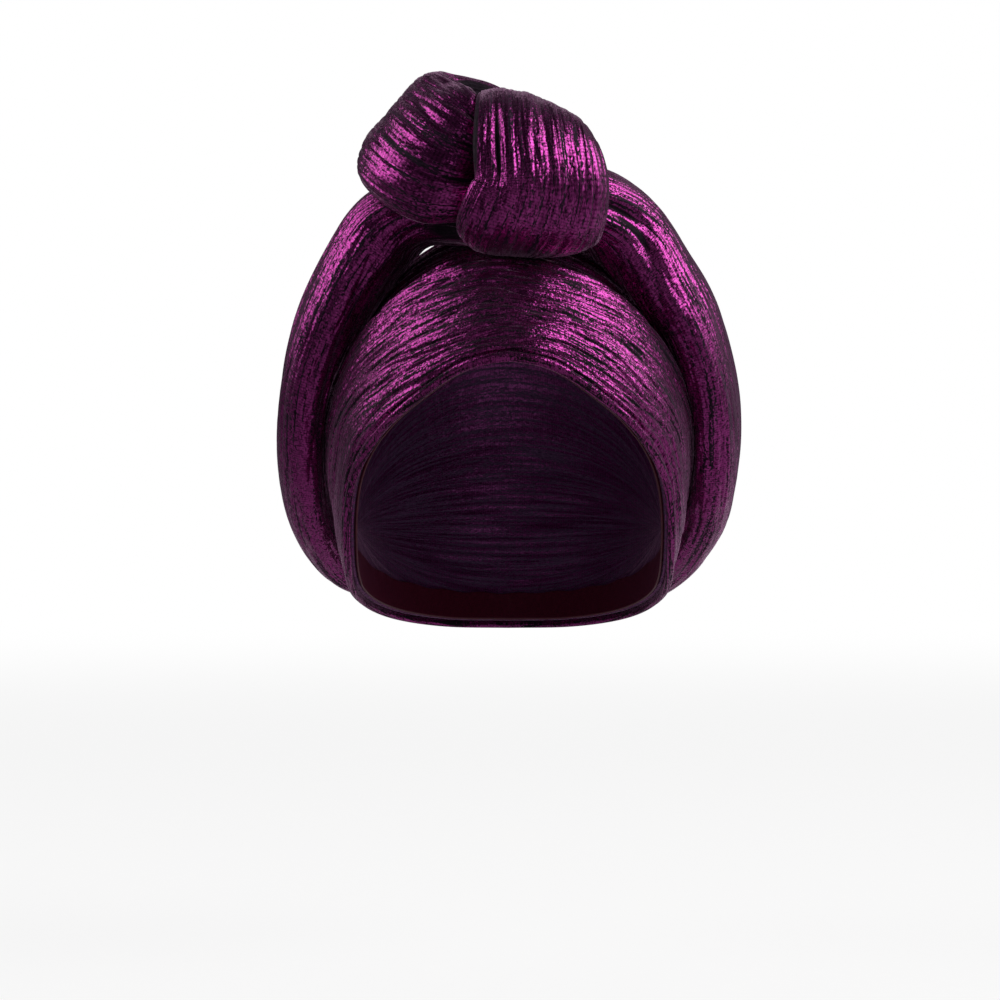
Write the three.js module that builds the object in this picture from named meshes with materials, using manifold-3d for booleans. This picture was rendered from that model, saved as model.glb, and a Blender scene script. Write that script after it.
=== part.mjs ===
// A tied gele head tie: a fitted cloth cap with a pleated forehead band, and two padded ties that are sewn
// at the nape, come up the sides of the head and are tied over the forehead in one half knot.
// Millimetres, +Z up. The wearer faces -Y, and left and right are as seen from the front.
// The origin is the top of the head, on the inside of the cap's crown.
import * as THREE from "three";
import { mergeVertices } from "three/addons/utils/BufferGeometryUtils.js";
import Module from "manifold-3d";

const wasm = await Module();
wasm.setup();

// The inside of the cap is a head-shaped egg: one half height above its widest level, a longer one below.
const HEAD = { halfBreadth: 71, halfLength: 94, above: 88, below: 130 };
const WALL = { cap: 1.5, band: 2.4, facing: 1 };
const GAP = 0.35;
const BAND_LIFT = 1.8; // how far the band's folded top edge stands off the crown
const LIFT_START = 0.55; // where the band starts to lift, as a share of its width
const FACING_SHARE = 0.4; // the facing's width as a share of the band's

const ROUND_STEPS = 44; // columns round the head
const BAND_ROWS = 8;
const CROWN_ROWS = 6;
const TIE_SIDES = 16;
const TIE_STEPS_PER_ROW = 3;
const TIE_SQUARENESS = 2.3; // 2 is an ellipse, more is fuller at the corners
const TANGENT_REACH = 0.05; // a tie's direction is taken over this much of a row on each side

// Heights of the face edge and of the band's folded top edge, by the turn in degrees from the forehead's middle.
const EDGES = [
  { turn: 0, hem: -58, fold: -20.5 },
  { turn: 15, hem: -62, fold: -22 },
  { turn: 30, hem: -73.5, fold: -25.5 },
  { turn: 45, hem: -87, fold: -32 },
  { turn: 60, hem: -106, fold: -46 },
  { turn: 75, hem: -136, fold: -69 },
  { turn: 90, hem: -150, fold: -94 },
  { turn: 120, hem: -160, fold: -122 },
  { turn: 150, hem: -165, fold: -134 },
  { turn: 180, hem: -166, fold: -138 },
];

// The main pleats of the band: where each ridge lies across the band's width, from hem to fold, and its height.
const PLEATS = [
  { across: 0, height: 0.6 },
  { across: 0.25, height: 0.6 },
  { across: 0.5, height: 0.7 },
  { across: 0.75, height: 0.6 },
  { across: 1, height: 0.4 },
];

// A padded tie's sections, from the nape seam to the tucked end. x y z is the middle of a section, ox oy oz
// points across its thickness, and wide and thick are its sizes. ARM is the right tie's, mirrored for the left.
const ARM = [
  { x: 0, y: 105, z: -139, ox: 0, oy: 1, oz: -0.2, wide: 50, thick: 27 },
  { x: 34, y: 98, z: -138, ox: 0.35, oy: 0.93, oz: -0.2, wide: 50, thick: 27 },
  { x: 64, y: 75, z: -129, ox: 0.75, oy: 0.65, oz: -0.15, wide: 52, thick: 27 },
  { x: 80, y: 44, z: -110, ox: 0.95, oy: 0.3, oz: -0.1, wide: 56, thick: 27 },
  { x: 84, y: 18, z: -86, ox: 1, oy: 0.05, oz: 0.05, wide: 60, thick: 27 },
  { x: 80.5, y: -3, z: -59, ox: 0.96, oy: 0, oz: 0.25, wide: 60, thick: 29 },
  { x: 71.5, y: -15, z: -35.5, ox: 0.86, oy: -0.05, oz: 0.5, wide: 58, thick: 31 },
];
// The left tie goes under the knot's left lobe and wraps up over the front, which makes the right lobe.
const LEFT_KNOT = [
  { x: -61, y: -22, z: -16, ox: -0.75, oy: -0.05, oz: 0.65, wide: 54, thick: 34 },
  { x: -50, y: -27, z: -1, ox: -0.62, oy: -0.1, oz: 0.78, wide: 46, thick: 34 },
  { x: -37, y: -31.5, z: 5, ox: -0.4, oy: -0.1, oz: 0.9, wide: 38, thick: 28 },
  { x: -20, y: -36, z: 3.5, ox: -0.1, oy: -0.05, oz: 1, wide: 34, thick: 24 },
  { x: -4, y: -46, z: -1, ox: 0, oy: 0.05, oz: 1, wide: 39, thick: 22 },
  { x: 4, y: -60, z: -5.5, ox: 0, oy: 0.15, oz: 1, wide: 49, thick: 19 },
  { x: 8, y: -75, z: -2.5, ox: 0, oy: 0.5, oz: 0.86, wide: 61, thick: 19 },
  { x: 13.5, y: -82.5, z: 12, ox: -0.15, oy: 1, oz: 0.25, wide: 54, thick: 21 },
  { x: 11, y: -78.5, z: 29, ox: -0.25, oy: 0.9, oz: -0.3, wide: 50, thick: 23 },
  { x: 8, y: -66.5, z: 40, ox: -0.4, oy: 0.45, oz: -0.8, wide: 46, thick: 21 },
  { x: 5, y: -50, z: 42, ox: -0.44, oy: -0.15, oz: -0.88, wide: 40, thick: 17 },
  { x: 2, y: -37, z: 33, ox: -0.25, oy: -0.8, oz: -0.55, wide: 33, thick: 14 },
  { x: 2, y: -33, z: 22, ox: 0, oy: -1, oz: 0, wide: 22, thick: 10 },
];
// The right tie goes through that wrap, swells into the left lobe and turns back over the top behind the knot.
const RIGHT_KNOT = [
  { x: 59, y: -22, z: -18, ox: 0.75, oy: -0.05, oz: 0.65, wide: 54, thick: 34 },
  { x: 46.5, y: -31, z: -1.5, ox: 0.57, oy: -0.1, oz: 0.82, wide: 46, thick: 35 },
  { x: 34, y: -42, z: 9, ox: 0.3, oy: -0.35, oz: 0.88, wide: 38, thick: 29 },
  { x: 15, y: -54, z: 17.5, ox: 0.05, oy: -0.6, oz: 0.8, wide: 30, thick: 22 },
  { x: -6, y: -58.5, z: 19, ox: 0, oy: -0.9, oz: 0.4, wide: 36, thick: 23 },
  { x: -21, y: -62, z: 24, ox: -0.1, oy: -1, oz: 0.05, wide: 56, thick: 33 },
  { x: -32, y: -58.5, z: 29, ox: -0.47, oy: -0.8, oz: 0.38, wide: 60, thick: 31 },
  { x: -39.5, y: -47, z: 36, ox: -0.7, oy: -0.2, oz: 0.7, wide: 58, thick: 27 },
  { x: -38.5, y: -34, z: 41.5, ox: -0.64, oy: 0.38, oz: 0.66, wide: 52, thick: 23 },
  { x: -27, y: -24, z: 42.5, ox: -0.28, oy: 0.85, oz: 0.42, wide: 43, thick: 21 },
  { x: -8, y: -21, z: 41.5, ox: 0.03, oy: 0.98, oz: 0.2, wide: 36, thick: 20 },
  { x: 9, y: -24, z: 38, ox: 0.3, oy: 0.95, oz: 0.05, wide: 18, thick: 10 },
];

const BROCADE = { color: 0x4a1450, roughness: 0.45, metalness: 0.5 };
const SATIN = { color: 0x571028, roughness: 0.4, metalness: 0 };

// A row of a table between its neighbours, every column on one smooth curve. at counts rows from 0.
function smoothRow(rows, at) {
  const i = Math.min(Math.floor(at), rows.length - 2);
  const f = at - i;
  const [a, b, c, d] = [-1, 0, 1, 2].map((k) => rows[THREE.MathUtils.clamp(i + k, 0, rows.length - 1)]);
  const row = {};
  for (const key of Object.keys(b)) {
    const bend = 2 * a[key] - 5 * b[key] + 4 * c[key] - d[key];
    const twist = 3 * b[key] - a[key] - 3 * c[key] + d[key];
    row[key] = b[key] + 0.5 * f * (c[key] - a[key] + f * (bend + f * twist));
  }
  return row;
}

// The hem and fold heights at a turn of either sign.
function edgesAt(turn) {
  const t = Math.abs(turn);
  const i = Math.max(EDGES.findLastIndex((row) => row.turn <= t), 0);
  const next = EDGES[Math.min(i + 1, EDGES.length - 1)];
  const share = next.turn > EDGES[i].turn ? (t - EDGES[i].turn) / (next.turn - EDGES[i].turn) : 0;
  return smoothRow(EDGES, i + share);
}

// The angle above the head's widest level of a point at a height.
function latitude(z) {
  const up = z + HEAD.above;
  return Math.asin(THREE.MathUtils.clamp(up / (up > 0 ? HEAD.above : HEAD.below), -1, 1));
}

// A point at a turn and latitude, a distance outside the head-shaped form.
function headPoint(turn, lat, out) {
  const t = THREE.MathUtils.degToRad(turn);
  const up = lat > 0 ? HEAD.above : HEAD.below;
  return new THREE.Vector3(
    (HEAD.halfBreadth + out) * Math.cos(lat) * Math.sin(t),
    -(HEAD.halfLength + out) * Math.cos(lat) * Math.cos(t),
    (up + out) * Math.sin(lat) - HEAD.above,
  );
}

// A ring of points round the head at a share of the way from hem (0) to fold (1) to crown (2).
function headRing(share, out) {
  return Array.from({ length: ROUND_STEPS }, (_, k) => {
    const turn = -180 + (360 * k) / ROUND_STEPS;
    const { hem, fold } = edgesAt(turn);
    const [low, high] = share <= 1 ? [latitude(hem), latitude(fold)] : [latitude(fold), Math.PI / 2];
    return headPoint(turn, THREE.MathUtils.lerp(low, high, share <= 1 ? share : share - 1), out);
  });
}

const crownPoint = (out) => headPoint(0, Math.PI / 2, out);
const bandShares = Array.from({ length: BAND_ROWS + 1 }, (_, j) => j / BAND_ROWS);
const crownShares = Array.from({ length: CROWN_ROWS - 1 }, (_, j) => 1 + (j + 1) / CROWN_ROWS);
const capShares = [...bandShares, ...crownShares];

// A closed surface through rings of equal count: joined end to end, or with each end closed by a fan.
function loft(rings, ends) {
  const sides = rings[0].length;
  const points = rings.flat();
  const faces = [];
  const spans = ends ? rings.length - 1 : rings.length;
  for (let r = 0; r < spans; r++) {
    for (let k = 0; k < sides; k++) {
      const [a, b] = [r * sides + k, r * sides + ((k + 1) % sides)];
      const next = ((r + 1) % rings.length) * sides - r * sides;
      const [c, d] = [b + next, a + next];
      const shorter = points[a].distanceTo(points[c]) < points[b].distanceTo(points[d]);
      faces.push(...(shorter ? [[a, b, c], [a, c, d]] : [[a, b, d], [b, c, d]]));
    }
  }
  if (ends) {
    const last = (rings.length - 1) * sides;
    points.push(...ends);
    for (let k = 0; k < sides; k++) {
      faces.push([points.length - 2, (k + 1) % sides, k]);
      faces.push([points.length - 1, last + k, last + ((k + 1) % sides)]);
    }
  }
  return solidOf(points, faces);
}

// A solid with its faces pointing out, whichever way round the rings ran.
function solidOf(points, faces) {
  const volume = faces.reduce((sum, [a, b, c]) => {
    return sum + points[a].dot(points[b].clone().cross(points[c]));
  }, 0);
  const corners = volume < 0 ? faces.map(([a, b, c]) => [a, c, b]) : faces;
  const geometry = new THREE.BufferGeometry().setFromPoints(points).setIndex(corners.flat());
  const merged = mergeVertices(geometry);
  const vertProperties = merged.attributes.position.array;
  const triVerts = new Uint32Array(merged.index.array);
  return new wasm.Manifold(new wasm.Mesh({ numProp: 3, vertProperties, triVerts }));
}

// The cap: inner rings from crown to hem, then outer rings back up.
function capSolid() {
  const inside = capShares.map((share) => headRing(share, 0)).reverse();
  const outside = capShares.map((share) => headRing(share, WALL.cap));
  return loft([...inside, ...outside], [crownPoint(0), crownPoint(WALL.cap)]);
}

// The pleat relief across the band: half waves between the ridges of the table.
function pleatHeight(share) {
  const i = Math.min(PLEATS.findLastIndex((row) => row.across <= share), PLEATS.length - 2);
  const f = (share - PLEATS[i].across) / (PLEATS[i + 1].across - PLEATS[i].across);
  const ridge = THREE.MathUtils.lerp(PLEATS[i].height, PLEATS[i + 1].height, f);
  return ridge * Math.abs(Math.cos(Math.PI * f));
}

// How far the band's two faces are from the cap's inside: its top edge lifts off the crown.
const bandInside = (share) => WALL.cap + GAP + BAND_LIFT * THREE.MathUtils.smoothstep(share, LIFT_START, 1);
const bandOutside = (share) => bandInside(share) + WALL.band + pleatHeight(share);

function bandSolid() {
  const inside = bandShares.map((share) => headRing(share, bandInside(share))).reverse();
  const outside = bandShares.map((share) => headRing(share, bandOutside(share)));
  return loft([...inside, ...outside]);
}

// The facing: a narrow strip inside the cap's edge.
function facingSolid() {
  const shares = bandShares.filter((share) => share <= FACING_SHARE);
  const inside = shares.map((share) => headRing(share, -GAP - WALL.facing)).reverse();
  const outside = shares.map((share) => headRing(share, -GAP));
  return loft([...inside, ...outside]);
}

// What the ties lie on: the cap and the band filled in and grown by the gap.
function seatSolid() {
  const outside = capShares.map((share) => headRing(share, GAP + (share <= 1 ? bandOutside(share) : WALL.cap)));
  return loft(outside, [new THREE.Vector3(0, 0, -HEAD.above), crownPoint(WALL.cap + GAP)]);
}

// A padded tie: rounded sections along its table's rows. grow makes every section that much larger all round.
function tieSolid(side, knot, grow) {
  const arm = ARM.map((row) => ({ ...row, x: side * Math.max(row.x, GAP / 2), ox: side * row.ox }));
  const rows = [...arm, ...knot];
  const steps = (rows.length - 1) * TIE_STEPS_PER_ROW;
  const middle = (at) => new THREE.Vector3().copy(smoothRow(rows, at));
  const rings = Array.from({ length: steps + 1 }, (_, s) => {
    const at = s / TIE_STEPS_PER_ROW;
    const row = smoothRow(rows, at);
    const ahead = middle(Math.min(at + TANGENT_REACH, rows.length - 1));
    const along = ahead.sub(middle(Math.max(at - TANGENT_REACH, 0))).normalize();
    if (s === 0) along.set(side, 0, 0); // both ties meet flat at the nape seam
    const out = new THREE.Vector3(row.ox, row.oy, row.oz);
    out.addScaledVector(along, -out.dot(along)).normalize();
    const across = along.clone().cross(out);
    return Array.from({ length: TIE_SIDES }, (_, k) => {
      const angle = (2 * Math.PI * k) / TIE_SIDES;
      const [c, n] = [Math.cos(angle), Math.sin(angle)];
      const full = (v) => Math.sign(v) * Math.abs(v) ** (2 / TIE_SQUARENESS);
      return new THREE.Vector3()
        .copy(row)
        .addScaledVector(across, full(c) * (row.wide / 2 + grow))
        .addScaledVector(out, full(n) * (row.thick / 2 + grow));
    });
  });
  return loft(rings, [middle(0), middle(rows.length - 1)]);
}

// A named mesh in its cloth, from a solid.
function piece(name, solid, cloth) {
  const { vertProperties, triVerts } = solid.getMesh();
  const geometry = new THREE.BufferGeometry();
  geometry.setAttribute("position", new THREE.BufferAttribute(vertProperties, 3));
  geometry.setIndex(new THREE.BufferAttribute(triVerts, 1));
  geometry.computeVertexNormals();
  const mesh = new THREE.Mesh(geometry, new THREE.MeshStandardMaterial(cloth));
  mesh.name = name;
  return mesh;
}

const seat = seatSolid();
const leftTie = tieSolid(-1, LEFT_KNOT, 0).subtract(seat);
const leftTieGrown = tieSolid(-1, LEFT_KNOT, GAP);
const rightTie = tieSolid(1, RIGHT_KNOT, 0).subtract(seat).subtract(leftTieGrown);

const gele = new THREE.Group();
gele.add(
  piece("cap", capSolid(), BROCADE),
  piece("forehead_band", bandSolid(), BROCADE),
  piece("hem_facing", facingSolid(), SATIN),
  piece("left_tie", leftTie, BROCADE),
  piece("right_tie", rightTie, BROCADE),
);

export default gele;
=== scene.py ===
# The looks of a tied gele head tie: a fitted cap with a pleated forehead band, and two padded ties that
# come up from the nape and are tied over the forehead in a half knot, all in crinkled brocade woven with
# metallic thread.
import bpy
import numpy as np
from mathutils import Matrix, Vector


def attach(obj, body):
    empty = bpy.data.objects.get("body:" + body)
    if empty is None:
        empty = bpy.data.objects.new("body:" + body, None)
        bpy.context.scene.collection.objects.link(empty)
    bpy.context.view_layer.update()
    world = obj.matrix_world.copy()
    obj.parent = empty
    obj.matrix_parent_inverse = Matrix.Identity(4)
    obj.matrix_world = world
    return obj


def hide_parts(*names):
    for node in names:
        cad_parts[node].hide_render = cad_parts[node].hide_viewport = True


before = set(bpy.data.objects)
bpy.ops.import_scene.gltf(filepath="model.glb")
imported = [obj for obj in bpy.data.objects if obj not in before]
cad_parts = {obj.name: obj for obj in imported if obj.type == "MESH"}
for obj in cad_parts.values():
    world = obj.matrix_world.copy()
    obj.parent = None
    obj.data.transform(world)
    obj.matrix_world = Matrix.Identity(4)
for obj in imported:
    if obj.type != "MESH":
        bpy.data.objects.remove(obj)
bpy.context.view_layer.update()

# Shapes are worked out in millimetres, as the frame's own sizes are, and made metres when a mesh is filled.
MM = 0.001

# The inside of the cap is a head-shaped egg: half sizes across, lengthwise, and above and below its
# widest level.
HEAD_BREADTH, HEAD_LENGTH, HEAD_ABOVE, HEAD_BELOW = 71, 94, 88, 130
CAP_WALL, BAND_WALL, FACING_WALL = 1.5, 2.4, 1
# Gaps between pieces, and between the ties at the nape seam.
GAP, SEAM_GAP = 0.35, 0.08
# How far the band's top stands off the cap, and the share of its width where that starts.
BAND_LIFT, LIFT_START = 1.8, 0.55
# The facing's width as a share of the band's.
FACING_SHARE = 0.4
# The power of a tie's section, which makes a rounded box: 2 would be an ellipse.
TIE_SQUARENESS = 2.3

# Columns: turn from the forehead's middle in degrees, height of the face edge, height of the band's top
# fold.
EDGES = np.array([
    (0, -58, -20.5), (15, -62, -22), (30, -73.5, -25.5), (45, -87, -32), (60, -106, -46),
    (75, -136, -69), (90, -150, -94), (120, -160, -122), (150, -165, -134), (180, -166, -138),
])

# A tie's sections. Columns: middle x y z, direction across the thickness x y z, width, thickness.
ARM = np.array([
    (0, 105, -139, 0, 1, -0.2, 50, 27),
    (34, 98, -138, 0.35, 0.93, -0.2, 50, 27),
    (64, 75, -129, 0.75, 0.65, -0.15, 52, 27),
    (80, 44, -110, 0.95, 0.3, -0.1, 56, 27),
    (84, 18, -86, 1, 0.05, 0.05, 60, 27),
    (80.5, -3, -59, 0.96, 0, 0.25, 60, 29),
    (71.5, -15, -35.5, 0.86, -0.05, 0.5, 58, 31),
])
LEFT_KNOT = np.array([
    (-61, -22, -16, -0.75, -0.05, 0.65, 54, 34),
    (-50, -27, -1, -0.62, -0.1, 0.78, 46, 34),
    (-37, -31.5, 5, -0.4, -0.1, 0.9, 38, 28),
    (-20, -36, 3.5, -0.1, -0.05, 1, 34, 24),
    (-4, -46, -1, 0, 0.05, 1, 39, 22),
    (4, -60, -5.5, 0, 0.15, 1, 49, 19),
    (8, -75, -2.5, 0, 0.5, 0.86, 61, 19),
    (13.5, -82.5, 12, -0.15, 1, 0.25, 54, 21),
    (11, -78.5, 29, -0.25, 0.9, -0.3, 50, 23),
    (8, -66.5, 40, -0.4, 0.45, -0.8, 46, 21),
    (5, -50, 42, -0.44, -0.15, -0.88, 40, 17),
    (2, -37, 33, -0.25, -0.8, -0.55, 33, 14),
    (2, -33, 22, 0, -1, 0, 22, 10),
])
RIGHT_KNOT = np.array([
    (59, -22, -18, 0.75, -0.05, 0.65, 54, 34),
    (46.5, -31, -1.5, 0.57, -0.1, 0.82, 46, 35),
    (34, -42, 9, 0.3, -0.35, 0.88, 38, 29),
    (15, -54, 17.5, 0.05, -0.6, 0.8, 30, 22),
    (-6, -58.5, 19, 0, -0.9, 0.4, 36, 23),
    (-21, -62, 24, -0.1, -1, 0.05, 56, 33),
    (-32, -58.5, 29, -0.47, -0.8, 0.38, 60, 31),
    (-39.5, -47, 36, -0.7, -0.2, 0.7, 58, 27),
    (-38.5, -34, 41.5, -0.64, 0.38, 0.66, 52, 23),
    (-27, -24, 42.5, -0.28, 0.85, 0.42, 43, 21),
    (-8, -21, 41.5, 0.03, 0.98, 0.2, 36, 20),
    (9, -24, 38, 0.3, 0.95, 0.05, 18, 10),
])

# Folds pressed into the ties where the knot gathers them, and painted shade. Columns: start and end
# along the tie in mm, place round it at each as a share of the girth, half width and depth. Depth is
# negative where a fold swells into a rolled edge, and zero where there is no fold, only painted shade in
# the knot's hollows. Where a row's bell is high, the film is taken out and the cloth painted dark as shade.
LEFT_FOLDS_AND_SHADE = (
    (346, 402, 0.894, 0.925, 3, 2.6), (338, 426, 0.985, 1, 6, -1.6), (252, 294, 0.035, 0.05, 2.4, 2),
    (250, 344, 0.955, 0.955, 16, 0),
)
RIGHT_FOLDS_AND_SHADE = (
    (252, 296, 0.463, 0.45, 2.4, 3), (236, 292, 0.496, 0.475, 2.6, 1.8),
    (318, 352, 0.13, 0.1, 2.2, 1.6), (318, 350, 0.21, 0.2, 2.2, 1.6), (318, 352, 0.3, 0.33, 2.4, 1.6),
    (372, 442, 0.93, 0.93, 14, 0),
)

# Crinkles of the cloth, coarse and fine. Columns: spacing across, reach along, height.
TIE_CRINKLES = ((4.6, 52, 0.42), (2.0, 24, 0.14))
BAND_CRINKLES = ((6.4, 75, 0.85), (2.3, 30, 0.24))
CAP_CRINKLES = ((5.6, 55, 0.55), (2.3, 24, 0.2))
# Soft waves under the crinkles, with the same columns.
BILLOW = (13, 40, 0.5)
# Crinkles wander sideways by so many of their own spacings, and swell and fade by a share of their height.
# Both have one spacing across, and each its reach along.
WANDER, SWELL = 1.1, 0.55
WANDER_SPACING, WANDER_REACH, SWELL_REACH = 28, 62, 85
# How steeply a ridge rises from its crease, and the share of the crest in each layer.
RIDGE_STEEPNESS, CREST_SHARES = 2.5, (0.65, 0.35)
# What each noise adds to its piece's seed.
SWELL_SEED, LAYER_SEED, BILLOW_SEED, LUMP_SEED = 1, 2, 6, 9
# Cells along a lattice before it repeats, and the factor that takes its noise to about -1 to 1.
LATTICE_LENGTH, NOISE_GAIN = 97, 1.6

# A tie's usual girth, how far along it the knot starts, and the rows and sides of its mesh.
TIE_GIRTH, KNOT_START = 146, 200
TIE_ROWS, TIE_SIDES = 306, 300
# Rows on either side over which a running mean softens a tie's middle line, and its sections.
LINE_SOFT_ROWS, SIZE_SOFT_ROWS = 6, 10


# Small helpers for arrays.


def unit(vectors):
    """Vectors of length one: each divided by its length."""
    return vectors / np.linalg.norm(vectors, axis=-1, keepdims=True)


def ease(value, low, high):
    """A smooth step from 0 at low to 1 at high."""
    share = np.clip((value - low) / (high - low), 0, 1)
    return share * share * (3 - 2 * share)


def smooth_rows(rows, at):
    """A table's rows at fractional row numbers, every column on one Catmull-Rom curve through its rows."""
    first = np.clip(np.floor(at).astype(int), 0, len(rows) - 2)
    share = (at - first)[..., None]
    a, b, c, d = (rows[np.clip(first + k, 0, len(rows) - 1)] for k in (-1, 0, 1, 2))
    bend = 2 * a - 5 * b + 4 * c - d
    twist = 3 * b - a - 3 * c + d
    return b + 0.5 * share * (c - a + share * (bend + share * twist))


def running_mean(rows, reach):
    """Rows softened by a bell-shaped mean over so many rows on either side, with the ends kept in place."""
    bell = np.exp(-np.linspace(-2, 2, 2 * reach + 1) ** 2)
    longer = np.pad(rows, ((reach, reach), (0, 0)), "reflect", reflect_type="odd")
    return sum(weight * longer[k:k + len(rows)] for k, weight in enumerate(bell / bell.sum()))


def lattice_noise(across, along, repeat, seed):
    """Smooth noise from about -1 to 1: a random slope at each whole-number corner of a lattice, eased
    between the corners. It repeats across after that many cells."""
    angle = np.random.default_rng(seed).uniform(0, 2 * np.pi, (repeat, LATTICE_LENGTH))
    i, j = np.floor(across).astype(int), np.floor(along).astype(int)
    u, v = across - i, along - j
    ease_u, ease_v = ease(u, 0, 1), ease(v, 0, 1)
    total = 0
    for di in (0, 1):
        for dj in (0, 1):
            corner = angle[(i + di) % angle.shape[0], (j + dj) % angle.shape[1]]
            slope = np.cos(corner) * (u - di) + np.sin(corner) * (v - dj)
            total = total + slope * np.where(di, ease_u, 1 - ease_u) * np.where(dj, ease_v, 1 - ease_v)
    return NOISE_GAIN * total


def crinkles(across, along, girth, layers, seed):
    """Relief of crinkled cloth in mm, and its crest share, from 0 in a crease to 1 on a ridge.

    Each layer is the absolute value of lattice noise stretched along the cloth: zero along wandering lines,
    which are the creases, and rounded between them. A wider noise bends the lines, and another makes ridges
    swell and fade. across is a share of the girth, along is in mm."""
    wide = max(round(girth / WANDER_SPACING), 1)
    wander = WANDER * lattice_noise(across * wide, along / WANDER_REACH, wide, seed)
    swell = 1 + SWELL * lattice_noise(across * wide, along / SWELL_REACH, wide, seed + SWELL_SEED)
    relief, crest = 0, 0
    for number, (spacing, reach, height) in enumerate(layers):
        cells = max(round(girth / spacing), 1)
        noise = lattice_noise(across * cells + wander, along / reach, cells, seed + LAYER_SEED + number)
        ridge = 1 - (1 - np.minimum(RIDGE_STEEPNESS * np.abs(noise), 1)) ** 2
        relief = relief + height * swell * ridge
        crest = crest + CREST_SHARES[number] * ridge
    spacing, reach, height = BILLOW
    cells = max(round(girth / spacing), 1)
    relief = relief + height * lattice_noise(across * cells, along / reach, cells, seed + BILLOW_SEED)
    return relief, crest


# Meshes from grids.


def cloth_piece(name, points, cloth, crest, materials, poles=(), ring=False, second_from=None, across=None):
    """A mesh through a grid of points in mm, whose columns close round on themselves.

    Rows are joined end to end if ring is true, and otherwise the first and last row are closed by fans to
    the two poles. cloth is the place on the flat cloth in mm, round the girth and along it, and crest the
    crinkle's crest share: both are kept as attributes for the materials, and so is the way across the
    crinkles, which is from column to column if across isn't given. Faces from row second_from on take the
    second material. A map over the grid, named as the exporter knows it, gives every face its own place."""
    rows, columns = points.shape[:2]
    spans = rows if ring else rows - 1
    r, k = np.meshgrid(np.arange(spans), np.arange(columns), indexing="ij")
    next_r, next_k = (r + 1) % rows * columns, (k + 1) % columns
    quads = np.stack([r * columns + k, r * columns + next_k, next_r + next_k, next_r + k], -1).reshape(-1, 4)
    quad_u = np.stack([k, k + 1, k + 1, k], -1).reshape(-1, 4) / columns
    quad_v = (np.stack([r, r, r + 1, r + 1], -1).reshape(-1, 4) + 0.5) / (spans + 1)
    places = points.reshape(-1, 3)
    corners = places[quads]
    lean = np.cross(corners[:, 2] - corners[:, 0], corners[:, 3] - corners[:, 1])
    outward = 1 if (lean * corners.mean(1)).sum() > 0 else -1
    faces = quads[:, ::outward].tolist()
    maps = [np.stack([quad_u, quad_v], -1)[:, ::outward].reshape(-1, 2)]
    if across is None:
        across = np.roll(points, -1, 1) - np.roll(points, 1, 1)
    across = across / np.maximum(np.linalg.norm(across, axis=-1, keepdims=True), 1e-6)
    cloths, crests, ways = cloth.reshape(-1, 3), crest.reshape(-1), across.reshape(-1, 3)
    side = np.arange(columns)
    for number, (pole, row) in enumerate(zip(poles, (0, rows - 1))):
        turn = outward if number else -outward
        tip = np.full(columns, len(places))
        fan = np.stack([row * columns + side, row * columns + (side + 1) % columns, tip], -1)
        fan_u = np.stack([side, side + 1, side + 0.5], -1) / columns
        fan_v = np.repeat([[(row + 0.5) / rows, (row + 0.5) / rows, number]], columns, 0)
        faces += fan[:, ::turn].tolist()
        maps.append(np.stack([fan_u, fan_v], -1)[:, ::turn].reshape(-1, 2))
        places = np.vstack([places, pole])
        cloths = np.vstack([cloths, cloth[row].mean(0)])
        ways = np.vstack([ways, across[row, 0]])
        crests = np.append(crests, crest[row].mean())
    mesh = bpy.data.meshes.new(name)
    mesh.from_pydata((places * MM).tolist(), [], faces)
    mesh.uv_layers.new(name="OFBake").uv.foreach_set("vector", np.vstack(maps).astype(np.float32).ravel())
    cloth_data = mesh.attributes.new("cloth", "FLOAT_VECTOR", "POINT").data
    cloth_data.foreach_set("vector", (cloths * MM).astype(np.float32).ravel())
    way_data = mesh.attributes.new("across", "FLOAT_VECTOR", "POINT").data
    way_data.foreach_set("vector", ways.astype(np.float32).ravel())
    crest_data = mesh.attributes.new("crest", "FLOAT", "POINT").data
    crest_data.foreach_set("value", crests.astype(np.float32))
    mesh.polygons.foreach_set("use_smooth", np.ones(len(faces), bool))
    for material in materials:
        mesh.materials.append(material)
    if second_from is not None:
        index = np.zeros(len(faces), np.int32)
        index[:len(quads)] = np.repeat(np.arange(spans) >= second_from, columns)
        index[len(quads) + columns:] = 1
        mesh.polygons.foreach_set("material_index", index)
    mesh.update()
    return linked(name, mesh)


def linked(name, data):
    """An object of a mesh, light or camera, put into the scene."""
    made = bpy.data.objects.new(name, data)
    bpy.context.scene.collection.objects.link(made)
    return made


def grid_area(points):
    """Area in square metres of a grid whose columns close round: half the cross product of each cell's
    diagonals."""
    around = np.roll(points, -1, 1)
    cells = np.cross(around[1:] - points[:-1], points[1:] - around[:-1])
    return np.linalg.norm(cells, axis=-1).sum() / 2 * MM ** 2


# The head-shaped form that the cap, the band and the facing follow.


def latitude(height):
    """Angle above the egg's widest level at a height: the arc sine of its share of the half height there."""
    up = height + HEAD_ABOVE
    return np.arcsin(np.clip(up / np.where(up > 0, HEAD_ABOVE, HEAD_BELOW), -1, 1))


def head_point(turn, lat, out):
    """The egg's point at a turn in degrees and a latitude in radians, with every half size grown by out."""
    t = np.radians(turn)
    up = np.where(lat > 0, HEAD_ABOVE, HEAD_BELOW)
    return np.stack([
        (HEAD_BREADTH + out) * np.cos(lat) * np.sin(t),
        -(HEAD_LENGTH + out) * np.cos(lat) * np.cos(t),
        (up + out) * np.sin(lat) - HEAD_ABOVE + 0 * t,
    ], -1)


def edge_latitudes(turn):
    """Latitudes of the face edge and of the band's fold at a turn of either sign."""
    at = np.interp(np.abs(turn), EDGES[:, 0], np.arange(len(EDGES)))
    heights = smooth_rows(EDGES[:, 1:], at)
    return latitude(heights[..., 0]), latitude(heights[..., 1])


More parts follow.
